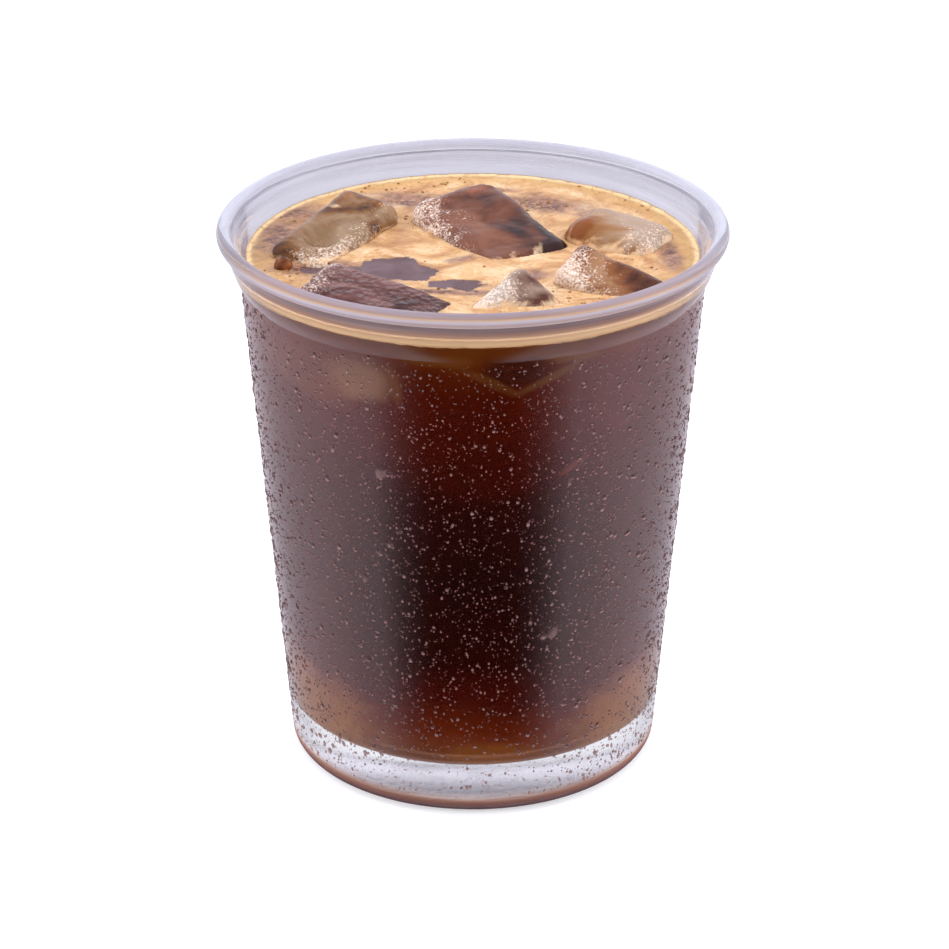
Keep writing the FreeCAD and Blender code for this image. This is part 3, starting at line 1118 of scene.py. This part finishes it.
# Large drops of the photo: degrees round from the front, height and radius in millimetres.
placed_drops = [
    (-23.5, 72.3, 1.15), (-20.5, 72.0, 0.60), (-22.0, 57.5, 0.75), (-25.5, 55.5, 0.55),
    (-19.0, 60.5, 0.50), (22.5, 39.0, 1.00), (19.8, 38.2, 0.70), (-30.0, 49.0, 0.55)]


def make_condensation():
    fine = water_material("fine_condensation", 0.70)
    coarse = water_material("coarse_condensation", 0.62)
    large = water_material("large_condensation", 0.30)
    low, high = 3.6 * MM, 95 * MM
    make_drops("dew", 8600, 0.09 * MM, 0.17 * MM, 5, 2, 11, fine, low, high)
    make_drops("fine_drops", 8200, 0.14 * MM, 0.27 * MM, 5, 2, 12, fine, low, high)
    make_drops("drops", 2700, 0.20 * MM, 0.46 * MM, 8, 3, 13, coarse, low, high)
    make_drops(
        "large_drops", 14, 0.5 * MM, 0.9 * MM, 16, 5, 14, large, 20 * MM, 90 * MM, placed_drops)


# ---- stage, light and camera ---------------------------------------------------------------

def floor_material():
    """A pale floor that the camera sees as white, shadow apart, and the glass as pale lilac, with a
    painted pool of light under the glass.
    """
    material, tree = new_material("pale_floor")
    n = Nodes(tree)
    out = n.add("ShaderNodeOutputMaterial")
    path = n.add("ShaderNodeLightPath")
    diffuse = n.diffuse((0.66, 0.66, 0.71, 1.0))
    through = n.add("ShaderNodeEmission")
    through.inputs["Color"].default_value = (0.60, 0.59, 0.69, 1.0)
    radius = n.length(*n.axes()[:2])
    # painted pool of light: the floor seen through the glass is brighter near its foot
    painted_light_pool = n.opposite(n.smooth_step(radius, 60.0 * MM, 160.0 * MM))
    n.link(n.math("MULTIPLY_ADD", painted_light_pool, 0.44, 1.0), through.inputs["Strength"])
    glow = n.add("ShaderNodeEmission")
    n.link(n.times(path.outputs["Is Camera Ray"], 0.50), glow.inputs["Strength"])
    both = n.add("ShaderNodeAddShader")
    n.link(diffuse.outputs[0], both.inputs[0])
    n.link(glow.outputs[0], both.inputs[1])
    seen = n.layer(both, through, path.outputs["Is Transmission Ray"])
    n.link(seen.outputs[0], out.inputs["Surface"])
    return material


def make_stage():
    half = 3.0
    mesh = mesh_from("floor", [
        (-half, -half, 0), (half, -half, 0), (half, half, 0), (-half, half, 0)], [(0, 1, 2, 3)])
    floor = bpy.data.objects.new("floor", mesh)
    bpy.context.scene.collection.objects.link(floor)
    mesh.materials.append(floor_material())
    floor.visible_glossy = False


def area_light(name, place, target, width, height, power, colour=(1, 1, 1)):
    data = bpy.data.lights.new(name, "AREA")
    data.shape = "RECTANGLE"
    data.size = width
    data.size_y = height
    data.energy = power
    data.color = colour
    lamp = bpy.data.objects.new(name, data)
    lamp.visible_glossy = False
    lamp.visible_transmission = False
    lamp.location = place
    lamp.rotation_euler = (Vector(target) - Vector(place)).to_track_quat("-Z", "Y").to_euler()
    bpy.context.scene.collection.objects.link(lamp)
    return lamp


def make_lights():
    centre = (0, 0, 0.08)
    cool = (0.94, 0.94, 1.0)
    for name, angle in (
            ("front_left", 205), ("front_right", 335), ("back_right", 25), ("back_left", 155)):
        turn = math.radians(angle)
        place = (0.95 * math.cos(turn), 0.95 * math.sin(turn), 0.55)
        area_light(name + "_box", place, centre, 0.45, 0.75, 5.0, cool)
    area_light("top_box", (0.0, 0.15, 1.1), centre, 0.8, 0.8, 7.0, cool)
    make_world()


def make_world():
    """White to the camera; to reflections dark in front, pale at the sides, back and above.

    The node that mixes the reflected colour clamps its factor, so that colour never passes white.
    """
    world = bpy.data.worlds.new("studio")
    bpy.context.scene.world = world
    world.use_nodes = True
    n = Nodes(world.node_tree)
    world.node_tree.nodes.clear()
    out = n.add("ShaderNodeOutputWorld")
    path = n.add("ShaderNodeLightPath")
    direction = n.add("ShaderNodeTexCoord").outputs["Generated"]
    x, y, z = n.axes(direction)
    front = n.math("DIVIDE", n.times(y, -1.0), n.length(x, y))
    aside = n.opposite(n.smooth_step(front, -0.10, 0.94))
    low = n.math("MULTIPLY_ADD", n.math("LESS_THAN", z, 0.0), 2.2, 1.2)
    aside = n.times(aside, low)
    panels = n.smooth_step(n.noise(2.6, 0.0, 0.5, 0.0, direction), 0.50, 0.58)
    up = n.times(n.smooth_step(z, 0.30, 0.60), n.math("MULTIPLY_ADD", panels, 3.6, 0.45))
    shine = n.math("MAXIMUM", n.math("MULTIPLY_ADD", aside, 1.0, 0.004), up)
    shine = n.mix_colour(shine, (0.0, 0.0, 0.0, 1.0), (0.90, 0.89, 1.0, 1.0))
    seen = n.mix_colour(path.outputs["Is Glossy Ray"], (0.55, 0.55, 0.55, 1.0), shine)
    seen = n.mix_colour(path.outputs["Is Transmission Ray"], seen, (0.95, 0.95, 1.0, 1.0))
    seen = n.mix_colour(path.outputs["Is Camera Ray"], seen, (1.0, 1.0, 1.0, 1.0))
    background = n.add("ShaderNodeBackground")
    n.link(seen, background.inputs["Color"])
    n.link(background.outputs[0], out.inputs["Surface"])


def make_camera():
    elevation = math.radians(24.68)
    distance = 0.66275
    target = Vector((0.0003, 0.0, 0.05437))
    data = bpy.data.cameras.new("camera")
    data.sensor_width = 36.0
    data.lens = 131.5
    data.clip_start = 0.05
    data.clip_end = 20.0
    camera = bpy.data.objects.new("camera", data)
    camera.location = target + distance * Vector((0, -math.cos(elevation), math.sin(elevation)))
    camera.rotation_euler = (math.pi / 2 - elevation, 0, 0)
    bpy.context.scene.collection.objects.link(camera)
    bpy.context.scene.camera = camera
    bpy.context.scene.view_settings.view_transform = "Standard"


make_camera()
make_stage()
make_lights()
dress_glass()
ice_pieces = make_ice()
sunk_pieces = make_sunk_ice()
make_coffee(ice_pieces + sunk_pieces)
make_crema(ice_pieces)
make_bubble()
make_foam_bubbles(ice_pieces)
make_condensation()
